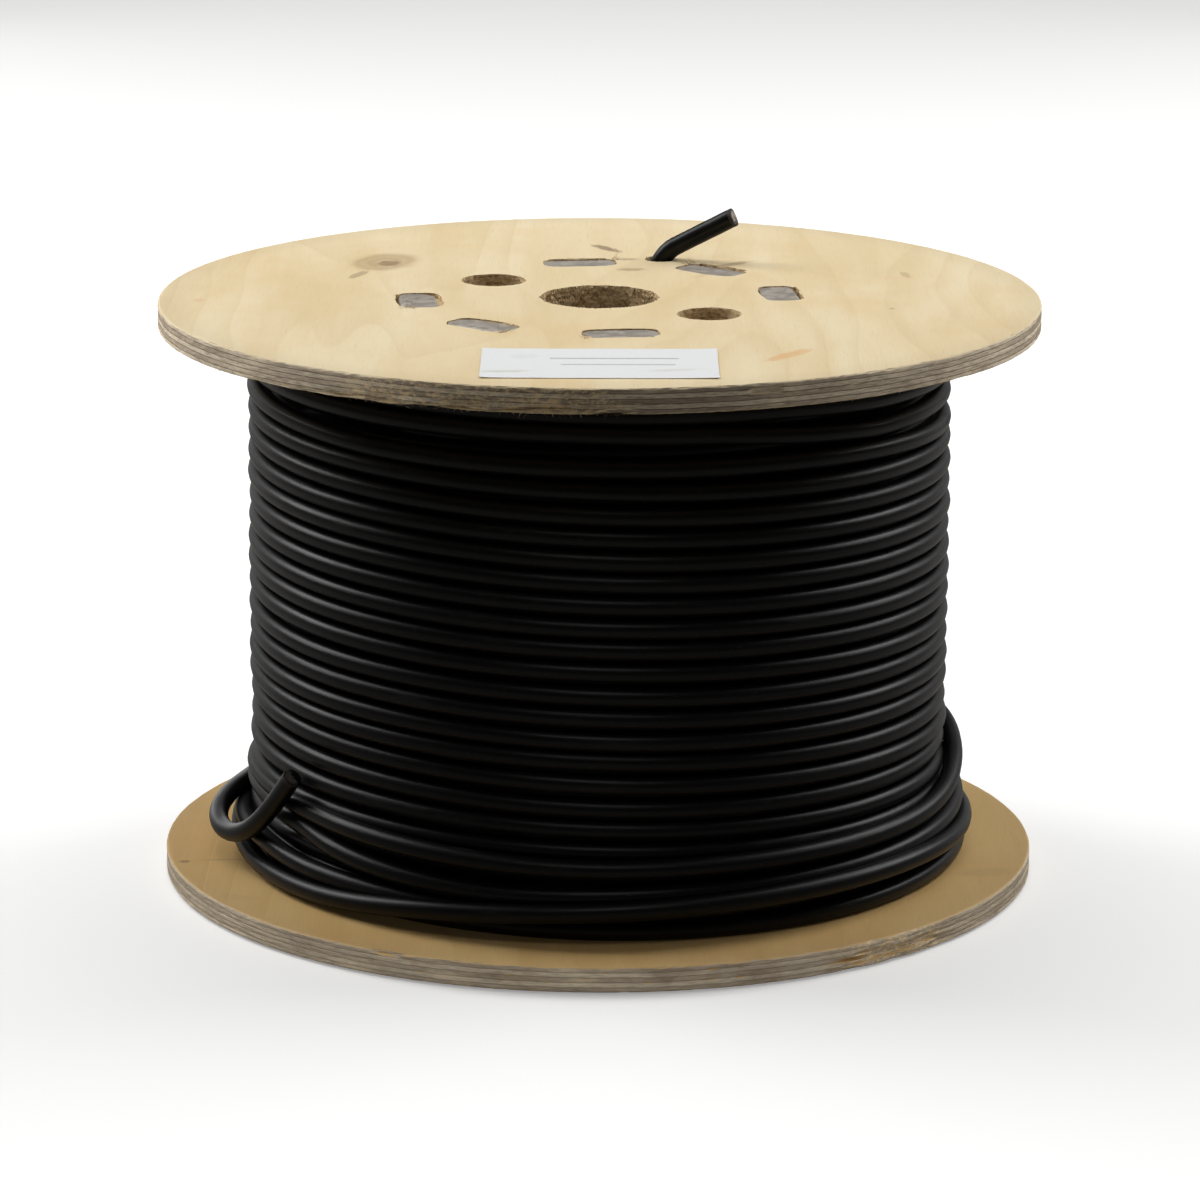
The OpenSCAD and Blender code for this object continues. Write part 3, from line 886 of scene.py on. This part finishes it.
class DRUM_OT_winding(bpy.types.Operator):
    """Winds the cable: the outer layer turn by turn and the loose last turns as one strand,
    over a core with the grooves of the layer below"""

    bl_idname = "cable_drum.add_winding"
    bl_label = "Winding"

    def execute(self, context):
        for name, build in (("wound_cable", outer_strand), ("inner_layers", layer_below)):
            piece = mesh_object(name, [build(sizes())], [jacket_material()], 60)
            finish_piece(piece, "cable_jacket", "winding")
        return {"FINISHED"}


def place_angle(s, k):
    """Direction of the hole or tab at place k."""
    return math.radians(s["tab_angle"] + k * 360 / PLACES)


def exit_place(s):
    return turned(s["exit_r"], 0, math.radians(s["exit_angle"]))


def drive_place(s, k):
    return turned(s["drive_pcd"] / 2, 0, place_angle(s, k))


def depth_to_height(s, upper):
    """Turns a depth below a board's outer face into a height, for the upper or lower end."""
    return (lambda depth: s["drum_h"] - depth) if upper else (lambda depth: depth)


def hole_cutter(s, x, y, radius, seed, flip, ragged=0.30):
    """A ragged pin through a board: r + ragged |n| at each angle and depth."""
    depth = np.concatenate([[-1.0], np.linspace(0, s["flange_t"], 15), [s["flange_t"] + 1]])
    a = full_circle(150)
    n = blurred_noise(seed, (len(depth), len(a)), (0.8, 1.2))
    slow = blurred_noise(seed + 1, (len(depth), len(a)), (3, 8))
    r = radius - 0.05 + ragged * np.abs(n) * 0.6 + 0.12 * slow
    z = flip(depth)[:, None] + 0 * a
    return shell(np.stack([x + r * np.cos(a), y + r * np.sin(a), z], -1), caps=True)


def pocket_cutter(turn, inner_r, outer_r, width, depths, seed, flip, ragged, squareness):
    """A pocket with a rounded outline between two radii: the outline, pushed out by noise,
    at each depth."""
    a = full_circle(120)
    u = rounded(np.cos(a), squareness) * (outer_r - inner_r) / 2
    v = rounded(np.sin(a), squareness) * width / 2
    n = blurred_noise(seed, (len(depths), len(a)), (0.8, 1.6))
    far = (inner_r + outer_r) / 2 + u[None] + ragged * np.abs(n) * rounded(np.cos(a), 0.5)
    aside = v[None] + 0.5 * ragged * n * np.abs(np.sin(a))
    x, y = turned(far, aside, turn)
    z = flip(np.asarray(depths, float))[:, None] + 0 * x
    return shell(np.stack([x, y, z], -1), caps=True)


def rim_relief(depth, turn, t, upper, seed):
    """How far the rim lies inside its circle: bevel + glue lines + sawn grain + tears, at
    each angle and depth."""
    ply = depth / t * PLIES
    glue = 0.10 * np.exp(-(((ply - np.round(ply)) / 0.10) ** 2)) * ((ply > 0.5) & (ply < PLIES - 0.5))
    cross = (np.floor(np.clip(ply, 0, PLIES - 0.01)) % 2)[None, :]
    end_grain = np.abs(cross - np.sin(turn)[:, None] ** 2)
    shape = (len(turn), len(depth))
    fine = blurred_noise(seed, shape, (1.3, 0.7))
    coarse = blurred_noise(seed + 1, shape, (7, 1.5))
    bevel = BEVEL * np.clip(1 - np.minimum(depth, t - depth) / BEVEL, 0, 1) ** 1.7
    relief = bevel + glue + (0.03 + 0.09 * end_grain) * np.abs(fine) + 0.05 * np.abs(coarse)
    degrees = np.degrees(turn)
    torn = np.clip(0.55 + 0.8 * blurred_noise(seed + 7, shape, (3.5, 1.2)), 0, 1.6)
    # Where the saw tore the wood: middle and half width in degrees, depth and reach in mm,
    # and amount. The upper board has long frayed places on its lower edge, and the lower
    # board one rough place right across.
    tears = ((311, 8, 2.2, 3.2, 0.75), (246, 3, 6.0, 1.5, 0.6))
    if upper:
        tears = ((255, 17, t, 3.2, 1.0), (225, 8, t, 1.2, 0.5), (318, 7, t, 1.2, 0.45))
    for middle, half, at, reach, amount in tears:
        where = bump(degrees, middle, half, 5.0)[:, None] * bump(depth, at, 0.4, reach)[None, :]
        relief = relief + amount * where * torn
    if upper:
        # A chip is missing from one ply.
        chip = bump(degrees, 290.5, 1.9, 0.4)[:, None] * bump(depth, 2.1, 0.45, 0.25)[None, :]
        relief = relief + 0.7 * chip
    return np.clip(relief, 0, 2.2)


def disc(s, upper, seed, flip):
    """A plywood disc as a closed section carried round the axis: r = R - relief(angle,
    depth) on the rim and r = r0 + tear(angle, depth) in the centre hole."""
    t, turn = s["flange_t"], full_circle(960)
    fine_steps = np.array([0.0, 0.12, 0.3])
    rim_d = np.concatenate([fine_steps, np.linspace(BEVEL, t - BEVEL, 24), t - fine_steps[::-1]])
    rim_r = s["flange_d"] / 2 - rim_relief(rim_d, turn, t, upper, seed)
    rings = np.array([17.6, 22, 30, 45, 60, 80, 100, 114, 120.5, 123.4])
    wall_d = np.linspace(t, 0, 18)
    shape = (len(turn), len(wall_d))
    fine = np.abs(blurred_noise(seed + 3, shape, (2.0, 0.8)))
    tear = 0.32 * fine + 0.16 * blurred_noise(seed + 4, shape, (9, 3))
    wall_r = s["bore_d"] / 2 + np.clip(tear + 0.05, 0, 1.0)
    rows = np.ones((len(turn), 1))
    r = np.hstack([rows * rings, rim_r, rows * rings[::-1], wall_r])
    depth = np.concatenate([np.zeros(len(rings)), rim_d, np.full(len(rings), t), wall_d])
    return ring_body(r, flip(depth)[None, :], turn)


# At a tab's place: how far its pocket reaches past its free end, and the width of the
# slit outside it, in mm.
POCKET_ENDS = {1: (0.4, 1.25), 2: (0.4, 0.9), 4: (1.7, 0.45), 5: (0.4, 0.8), 6: (0.4, 0.8)}
USUAL_ENDS = (0.4, 0.5)


def board(name, s, upper, seed, material):
    """A flange: the disc, with its driving and exit holes, tab slots and pockets cut out."""
    t, wall, flip = s["flange_t"], s["barrel_d"] / 2, depth_to_height(s, upper)
    piece = mesh_object(name, [disc(s, upper, seed, flip)], [], 30)
    pins = [
        hole_cutter(s, *drive_place(s, k), s["drive_d"] / 2, seed + 20 + k, flip) for k in DRIVE_PLACES
    ]
    if upper:
        pins.append(hole_cutter(s, *exit_place(s), s["exit_d"] / 2, seed + 30, flip, 0.45))
    pockets, wide = [], s["tab_w"] + 0.5
    pocket_depths, slot_depths = (-1, 0, 0.3, 0.8, 1.4), (-1, 0, 0.4, 1.2, 3, 5, t, t + 1)
    for k in TAB_PLACES:
        a = place_angle(s, k)
        inner, slit = POCKET_ENDS.get(k, USUAL_ENDS)
        low, high = wall - s["tab_len"] - inner, wall + 0.3
        pocket = pocket_cutter(a, low, high, wide, pocket_depths, seed + 40 + k, flip, 0.22, 0.55)
        pockets.append(pocket)
        low, high = wall - s["sheet_t"] - 0.3, wall + slit
        slot = pocket_cutter(a, low, high, wide - 4.4, slot_depths, seed + 60 + k, flip, 0.30, 0.40)
        pins.append(slot)
    cutters = [mesh_object(name + "_pins", pins, [], 30), mesh_object(name + "_pockets", pockets, [], 30)]
    carve(piece, cutters, material, 30)
    return piece


class DRUM_OT_boards(bpy.types.Operator):
    """Adds the two plywood flanges, with layered rims, torn holes and pockets for the tabs"""

    bl_idname = "cable_drum.add_boards"
    bl_label = "Plywood flanges"

    def execute(self, context):
        s, c = sizes(), colours()
        upper_z = (s["drum_h"] - s["flange_t"]) * MM
        look = (c["face"], UPPER_MARKS, upper_z, 0.31, 1.0, 1.0, (238, 272))
        upper = plywood_material("Upper plywood", *look)
        finish_piece(board("upper_board", s, True, 100, upper), "plywood", "flange_top")
        # The lower board's shade of 1.30 lightens the plies of its rim: painted light, standing in for the
        # light that a pale floor sends up onto it.
        look = (c["face_inner"], LOWER_MARKS, 0.0, 1.73, 1.30, 0.6, (303, 319))
        lower = plywood_material("Lower plywood", *look)
        finish_piece(board("lower_board", s, False, 200, lower), "plywood", "flange_bottom")
        return {"FINISHED"}


# Radius of the corners at a tab's free end, in mm.
TAB_CORNER = 4.0


def tab_route(s):
    """Radius, depth and distance run along a tab's middle: up the tube's wall, a quarter
    circle, and in over the wood. Its points crowd towards the rounded corners."""
    wall, bend, sunk = s["barrel_d"] / 2, 1.5, 0.50
    middle = wall - s["sheet_t"] / 2
    q, over = np.linspace(0, np.pi / 2, 12), np.linspace(0, 1, 22)[1:]
    inwards = np.linspace(middle - bend, wall - s["tab_len"], 22)[1:]
    r = np.concatenate([[middle] * 4, middle - bend + bend * np.cos(q), inwards])
    depth = np.concatenate([[8.2, 6, 4, 2.8], sunk + bend - bend * np.sin(q), sunk + 0.22 * over**1.5])
    run = distance_run(np.stack([r, depth], -1))
    straight = run[-1] - TAB_CORNER
    crowded = straight + TAB_CORNER * np.sin(np.linspace(0, np.pi / 2, 12))[1:]
    even = np.concatenate([np.linspace(0, straight, 36), crowded])
    return np.interp(even, run, r), np.interp(even, run, depth), even


def tab(s, turn, seed, flip):
    """A bent tab: a flat profile with rounded edges, carried along its route. Its free end
    has rounded corners, where the half width falls as a circle."""
    wall = s["barrel_d"] / 2
    r, depth, run = tab_route(s)
    back = unit(np.gradient(np.stack([r, depth], -1), axis=0))
    into = np.clip(run - (run[-1] - TAB_CORNER), 0, TAB_CORNER)
    half = s["tab_w"] / 2 - TAB_CORNER + np.sqrt(np.maximum(TAB_CORNER**2 - into**2, 0.0))
    # It is narrower where it comes through the slot.
    half = half - 2.4 * np.clip((r - (wall - 3.2)) / 2.6, 0, 1) ** 2
    a = full_circle(44)
    aside = half[:, None] * rounded(np.cos(a), 0.16)[None]
    off = rounded(np.sin(a), 0.55)[None] * s["sheet_t"] / 2
    # The press leaves the middle of the tab lower than its sides.
    flat = np.clip((wall - 1.5 - r) / 4, 0, 1)[:, None]
    dents = blurred_noise(seed, (len(r), len(a)), (4, 4)) * 0.05
    dish = flat * (0.10 * (1 - (aside / (s["tab_w"] / 2)) ** 2) + dents)
    x, y = turned(r[:, None] - back[:, 1:] * off, aside, turn)
    z = flip(depth[:, None] + back[:, :1] * off + dish)
    return shell(np.stack([x, y, z], -1), caps=True)


def rolled_tube(s):
    """The tube's wall as a section carried round the axis, thicker at its lapped seam."""
    wall, turn = s["barrel_d"] / 2, full_circle(360)
    lap = bump(np.degrees(turn), 29.0, 4.0, 0.8)[:, None]
    level = np.linspace(s["flange_t"], s["drum_h"] - s["flange_t"], 30)
    dents = blurred_noise(8, (len(turn), len(level)), (9, 3)) * 0.05
    r = np.hstack([wall + 0 * dents, wall - s["sheet_t"] - 0.8 * lap + dents])
    return ring_body(r, np.concatenate([level, level[::-1]])[None, :], turn)


class DRUM_OT_barrel(bpy.types.Operator):
    """Adds the rolled steel tube, with its lapped seam, and the tabs bent over at both ends"""

    bl_idname = "cable_drum.add_barrel"
    bl_label = "Steel barrel"

    def execute(self, context):
        s = sizes()
        tabs = [
            tab(s, place_angle(s, k), seed + k, depth_to_height(s, upper))
            for k in TAB_PLACES for seed, upper in ((300, True), (320, False))
        ]
        piece = mesh_object("steel_barrel", [rolled_tube(s), *tabs], [steel_material()], 40)
        finish_piece(piece, "sheet_steel", "barrel")
        return {"FINISHED"}


class DRUM_OT_label(bpy.types.Operator):
    """Adds the paper label, with its corners lifted a little"""

    bl_idname = "cable_drum.add_label"
    bl_label = "Paper label"

    def execute(self, context):
        s = sizes()
        u, v = np.linspace(-1, 1, 65)[:, None], np.linspace(-1, 1, 41)[None, :]
        middle_y = float(LABEL[0, 1] + LABEL[1, 1]) / 2 / MM
        x, y = u * s["label_w"] / 2 + 0 * v, v * s["label_h"] / 2 + middle_y + 0 * u
        lift = 0.10 * np.abs(u) ** 9 + 0.07 * np.abs(v) ** 9 + 0.16 * (np.abs(u) * np.abs(v)) ** 7
        lift = lift + 0.015 * blurred_noise(9, (65, 41), (4, 4))
        under = np.stack([x, y, s["drum_h"] + 0.02 + np.maximum(lift, 0)], -1)
        above = under + np.array([0, 0, s["paper_t"]])
        # The sheet's upper and lower sides are one grid, folded over at two edges.
        both = np.concatenate([above, under[:, ::-1]], axis=1)
        piece = mesh_object("paper_label", [shell(both, caps=True)], [paper_material()], 30)
        finish_piece(piece, "paper", "label")
        return {"FINISHED"}


def slivers(roots, ways, long, thick, seed):
    """Tapered slivers, all at once: root + s L way + s^2 L sag, with a three-cornered
    section of half width w (1 - s)^0.7."""
    rng = np.random.default_rng(seed)
    n = len(roots)
    ways = unit(ways)
    aside, over = square_to(ways, rng.standard_normal((n, 3)))
    sag = 0.35 * rng.standard_normal((n, 3))
    s = np.array([0, 0.35, 0.7, 1.0])
    bent = s[None, :, None] * ways[:, None] + s[None, :, None] ** 2 * sag[:, None]
    spine = roots[:, None] + long[:, None, None] * bent
    half = thick[:, None] * np.maximum((1 - s[None]) ** 0.7, 0.06)
    a = full_circle(3)[None, None, :, None]
    wheel = np.cos(a) * aside[:, None, None] + 0.45 * np.sin(a) * over[:, None, None]
    flat = (spine[:, :, None] + half[:, :, None, None] * wheel).reshape(-1, 3)
    one = np.arange(12).reshape(4, 3)
    start = (np.arange(n) * one.size)[:, None, None]
    parts = (grid_quads(one), one[:1], one[-1:, ::-1])
    faces = [(part[None] + start).reshape(-1, part.shape[1]) for part in parts]
    return {"points": flat, "faces": outward(flat, faces), "follow": None}


def round_axis(rng, a):
    """At each angle, the way straight out from the axis and a way along the circle."""
    along = rng.choice([-1, 1], len(a))[:, None] * np.stack([-np.sin(a), np.cos(a), 0 * a], -1)
    return np.stack([np.cos(a), np.sin(a), 0 * a], -1), along


def rim_slivers(s, rng, count, low, top, z_low, z_high, longest, down):
    """Roots and ways of slivers on a board's rim, between two angles and two heights."""
    a = np.radians(rng.uniform(low, top, count))
    z = rng.uniform(z_low, z_high, count)
    root_r = s["flange_d"] / 2 - 0.35
    roots = np.stack([root_r * np.cos(a), root_r * np.sin(a), z], -1)
    out, along = round_axis(rng, a)
    ways = along * rng.uniform(0.2, 1.2, (count, 1)) + out * rng.uniform(0.15, 0.6, (count, 1))
    ways[:, 2] -= down * rng.uniform(0.1, 1.0, count)
    return roots, ways, longest * rng.uniform(0.25, 1, count) ** 1.6, rng.uniform(0.04, 0.13, count)


def hole_slivers(rng, place, radius, count, longest, z_low, z_high):
    """Roots and ways of slivers in a round hole's wall, between two heights."""
    a = rng.uniform(0, 2 * np.pi, count)
    r = radius + 0.15
    x, y = place[0] + r * np.cos(a), place[1] + r * np.sin(a)
    roots = np.stack([x, y, rng.uniform(z_low, z_high, count)], -1)
    out, along = round_axis(rng, a)
    ways = along * rng.uniform(0.2, 1.0, (count, 1)) - out * rng.uniform(0.2, 0.9, (count, 1))
    ways[:, 2] += rng.uniform(-0.5, 0.25, count)
    return roots, ways, longest * rng.uniform(0.3, 1, count), rng.uniform(0.05, 0.14, count)


def tab_slivers(s, rng, k, end, count):
    """Roots and ways of slivers at one end of a tab's pocket."""
    a = place_angle(s, k)
    off = end * (s["tab_w"] / 2 + rng.uniform(-1.0, 0.6, count))
    far = s["barrel_d"] / 2 - rng.uniform(-1.0, 3.5, count)
    roots = np.stack([*turned(far, off, a), np.full(count, s["drum_h"] - 0.15)], -1)
    ways = end * np.array([[-math.sin(a), math.cos(a), 0]]) + 0.6 * rng.standard_normal((count, 3))
    ways[:, 2] = rng.uniform(0.05, 0.5, count)
    return roots, ways, rng.uniform(0.8, 3.2, count), rng.uniform(0.06, 0.16, count)


class DRUM_OT_slivers(bpy.types.Operator):
    """Adds the frayed wood fibres on the flanges' edges, in the holes and at the tabs"""

    bl_idname = "cable_drum.add_slivers"
    bl_label = "Frayed fibres"

    def execute(self, context):
        s = sizes()
        rng = np.random.default_rng(77)
        high, t = s["drum_h"], s["flange_t"]
        under = high - t
        groups = []
        # Count, angles, heights, greatest length and how far they hang down.
        for rim in (
            (420, 237, 273, under - 0.05, under + 3.2, 1.7, 0.8),
            (60, 212, 238, under, under + 1.5, 1.0, 0.6),
            (70, 273, 330, under, under + 1.5, 1.0, 0.6),
            (50, 200, 340, high - 1.2, high - 0.4, 0.9, -0.1),
            (170, 301, 320, 0.6, 6.2, 1.8, 0.2),
            (80, 0, 360, under, high, 1.1, 0.3),
            (80, 0, 360, 0.4, t, 1.1, 0.1),
        ):
            groups.append(slivers(*rim_slivers(s, rng, *rim), len(groups)))
        # Place, radius, count, greatest length and heights.
        holes = [((0, 0), s["bore_d"] / 2, 190, 2.0, under, high - 0.1)]
        holes += [(drive_place(s, k), s["drive_d"] / 2, 110, 1.9, under, high - 0.1) for k in DRIVE_PLACES]
        holes += [(exit_place(s), s["exit_d"] / 2, 40, 1.6, high - 1.5, high)]
        for hole in holes:
            groups.append(slivers(*hole_slivers(rng, *hole), 20 + len(groups)))
        for k, end in ((5, 1), (6, -1), (2, -1), (1, 1), (4, 1)):
            groups.append(slivers(*tab_slivers(s, rng, k, end, 26), 40 + len(groups)))
        piece = mesh_object("frayed_fibres", groups, [fibre_material()], 60)
        finish_piece(piece, "plywood")
        return {"FINISHED"}


# Name, place, what it aims at, width, depth and watts, and the only pieces that it lights,
# if not all. The low lamps stand in for the light that a white table sends up.
LAMPS = (
    ("lamp_above", (0.0, 0.75, 2.2), (0, 0.15, 0.1), 3.0, 2.0, 25, ()),
    ("lamp_left", (-1.24, 0.60, 1.07), (0, 0, 0.1), 0.9, 0.9, 16.5, ()),
    ("lamp_right", (1.24, 0.60, 1.07), (0, 0, 0.1), 0.9, 0.9, 13.5, ()),
    ("lamp_front", (0.0, -1.3, 1.9), (0, 0, 0.1), 0.9, 0.5, 3.8, ()),
    ("lamp_back_left", (-0.9, 1.3, 0.3), (0, 0, 0.1), 1.2, 0.6, 1.0, ()),
    ("lamp_back_right", (0.9, 1.3, 0.3), (0, 0, 0.1), 1.2, 0.6, 0.7, ()),
    ("lamp_low_front", (0.0, -1.3, 0.12), (0, 0, 0.08), 1.6, 0.3, 3.5, ("lower_board",)),
    ("lamp_low_left", (-1.4, 0.25, 0.13), (0, 0, 0.08), 0.5, 0.3, 13.0, ("upper_board",)),
    ("lamp_low_right", (1.4, 0.25, 0.13), (0, 0, 0.08), 0.5, 0.3, 9.5, ("upper_board",)),
    ("lamp_loop", (-0.35, 1.0, 0.26), (0, 0, 0.08), 0.9, 0.5, 2.2, ("cable_loose_end",)),
)


def add_lamp(name, place, aim, width, depth, power, pieces):
    light = bpy.data.lights.new(name, "AREA")
    light.shape, light.size, light.size_y, light.energy = "RECTANGLE", width, depth, power
    made = bpy.data.objects.new(name, light)
    made.location = place
    x, y, z = np.array(place) - np.array(aim)
    made.rotation_euler = (math.atan2(math.hypot(x, y), z), 0.0, math.atan2(x, -y))
    bpy.context.scene.collection.objects.link(made)
    if pieces:
        lit = bpy.data.collections.new(name)
        for piece in pieces:
            lit.objects.link(bpy.data.objects[piece])
        made.light_linking.receiver_collection = lit


class DRUM_OT_stage(bpy.types.Operator):
    """Adds the plain pale floor, the soft lamps round the drum and above it, and a dim sky"""

    bl_idname = "cable_drum.add_stage"
    bl_label = "Floor and lamps"

    def execute(self, context):
        wide = np.linspace(-6, 6, 13)
        x, y = np.meshgrid(wide, wide, indexing="ij")
        # The floor's top lies a little lower than the drum's underside, so that they share no plane.
        top = np.stack([x, y, np.full(x.shape, -0.0006)], -1)
        under = top[:, ::-1] - np.array([0, 0, 0.02])
        slab = shell(np.concatenate([top, under], axis=1), caps=True)
        floor = mesh_object("floor", [slab], [floor_material()], 30, 1.0)
        for lamp in LAMPS:
            add_lamp(*lamp)
        sky = bpy.data.worlds.new("sky")
        sky.use_nodes = True
        background = sky.node_tree.nodes["Background"].inputs
        background["Color"].default_value = (1, 1, 1, 1)
        background["Strength"].default_value = 0.04
        context.scene.world = sky
        context.scene.view_settings.view_transform = "Standard"
        return {"FINISHED"}


OPERATORS = (
    DRUM_OT_camera, DRUM_OT_cable_ends, DRUM_OT_winding, DRUM_OT_boards, DRUM_OT_barrel, DRUM_OT_label,
    DRUM_OT_slivers, DRUM_OT_stage,
)


class DRUM_PT_panel(bpy.types.Panel):
    """Lists the drum's pieces in the order they are made, and its sizes and colours"""

    bl_idname = "DRUM_PT_panel"
    bl_label = "Cable drum"
    bl_space_type = "VIEW_3D"
    bl_region_type = "UI"
    bl_category = "Cable drum"

    def draw(self, context):
        for operator in OPERATORS:
            self.layout.operator(operator.bl_idname)
        for kept in (context.scene.drum_sizes, context.scene.drum_colours):
            box = self.layout.box()
            for name in kept_values(kept):
                box.prop(kept, name)


CLASSES = (DrumSizes, DrumColours, *OPERATORS, DRUM_PT_panel)


def register():
    for kind in CLASSES:
        bpy.utils.register_class(kind)
    bpy.types.Scene.drum_sizes = bpy.props.PointerProperty(type=DrumSizes)
    bpy.types.Scene.drum_colours = bpy.props.PointerProperty(type=DrumColours)


def unregister():
    del bpy.types.Scene.drum_colours
    del bpy.types.Scene.drum_sizes
    for kind in reversed(CLASSES):
        bpy.utils.unregister_class(kind)


def main():
    register()
    for operator in OPERATORS:
        group, name = operator.bl_idname.split(".")
        getattr(getattr(bpy.ops, group), name)()
    bpy.context.view_layer.update()


if __name__ == "__main__":
    main()
